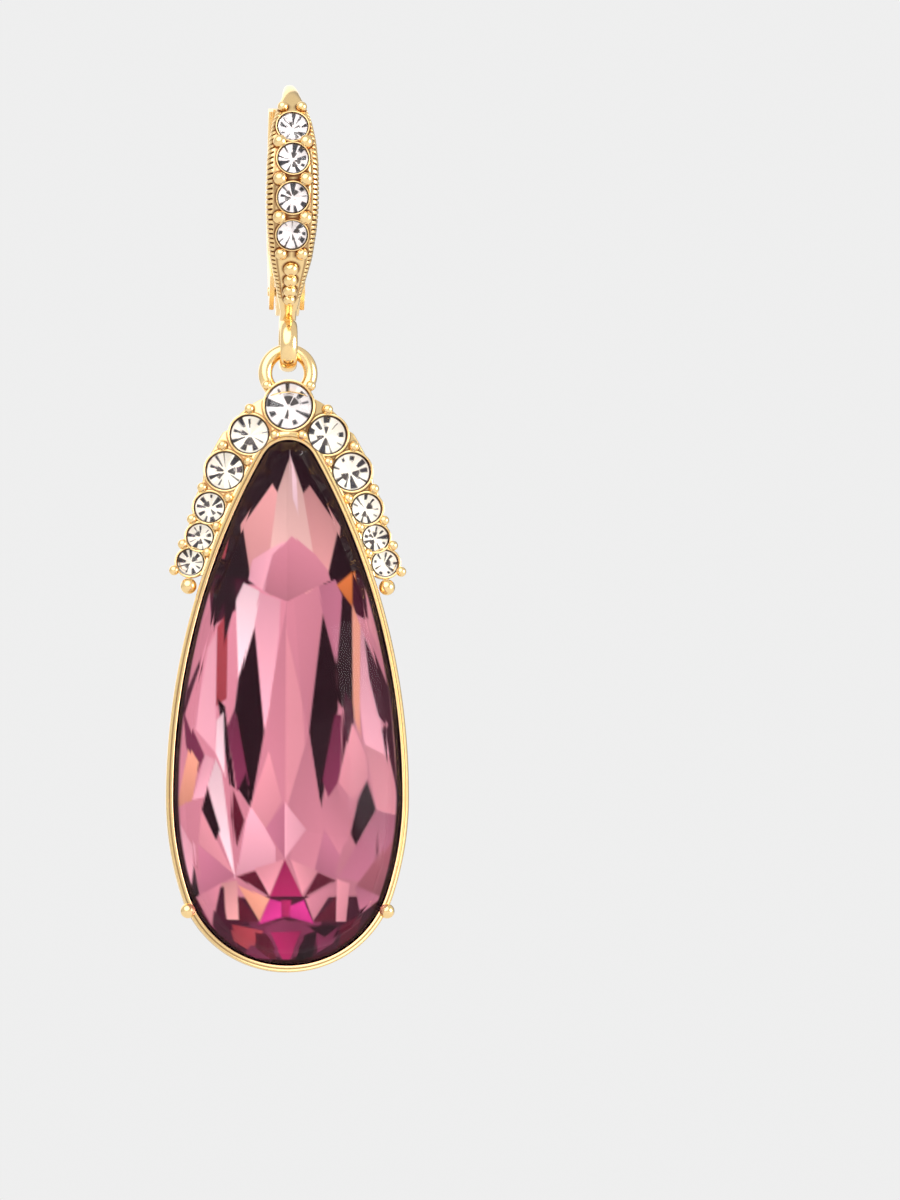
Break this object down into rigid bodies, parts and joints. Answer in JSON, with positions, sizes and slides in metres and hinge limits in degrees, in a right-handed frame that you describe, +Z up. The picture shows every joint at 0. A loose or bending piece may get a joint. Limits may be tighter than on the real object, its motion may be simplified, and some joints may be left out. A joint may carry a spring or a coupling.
{
  "type": "teardrop drop earring",
  "caption": "Lever-back drop earring: ribbed stone-set hoop over a faceted rose teardrop stone in a gold-tone cup with a stone-set cap.",
  "frame": {"origin": "centre of the ear wire at the top of its arch, where the earring hangs in the ear", "axes": "+Z up along the drop, -Y out of the front of the earring, X across it"},
  "size_m": [0.0154, 0.0138, 0.0572],
  "materials": {
    "gold_plate": "polished gold plating",
    "clear_crystal": "clear foiled crystal",
    "rose_crystal": "rose foiled crystal, polished facets"
  },
  "bodies": {
    "hoop": {"ear_hoop": "gold_plate", "lever_pin": "gold_plate", "hoop_stone_1": "clear_crystal", "hoop_stone_2": "clear_crystal", "hoop_stone_3": "clear_crystal", "hoop_stone_4": "clear_crystal"},
    "lever": {"ear_lever": "gold_plate"},
    "drop": {"drop_setting": "gold_plate", "teardrop_stone": "rose_crystal", "cap_stone_top": "clear_crystal", "cap_stone_left_1": "clear_crystal", "cap_stone_left_2": "clear_crystal", "cap_stone_left_3": "clear_crystal", "cap_stone_left_4": "clear_crystal", "cap_stone_left_5": "clear_crystal", "cap_stone_right_1": "clear_crystal", "cap_stone_right_2": "clear_crystal", "cap_stone_right_3": "clear_crystal", "cap_stone_right_4": "clear_crystal", "cap_stone_right_5": "clear_crystal"}
  },
  "joints": [
    {"name": "lever_hinge", "type": "hinge", "parent": "hoop", "child": "lever", "pos_m": [0, 0.00283, -0.0126], "axis": [-1, 0, 0], "range_deg": [0, 65]},
    {"name": "drop_swing", "type": "hinge", "parent": "hoop", "child": "drop", "pos_m": [0, 0, -0.0178], "axis": [0, 1, 0], "range_deg": [-45, 45]}
  ]
}
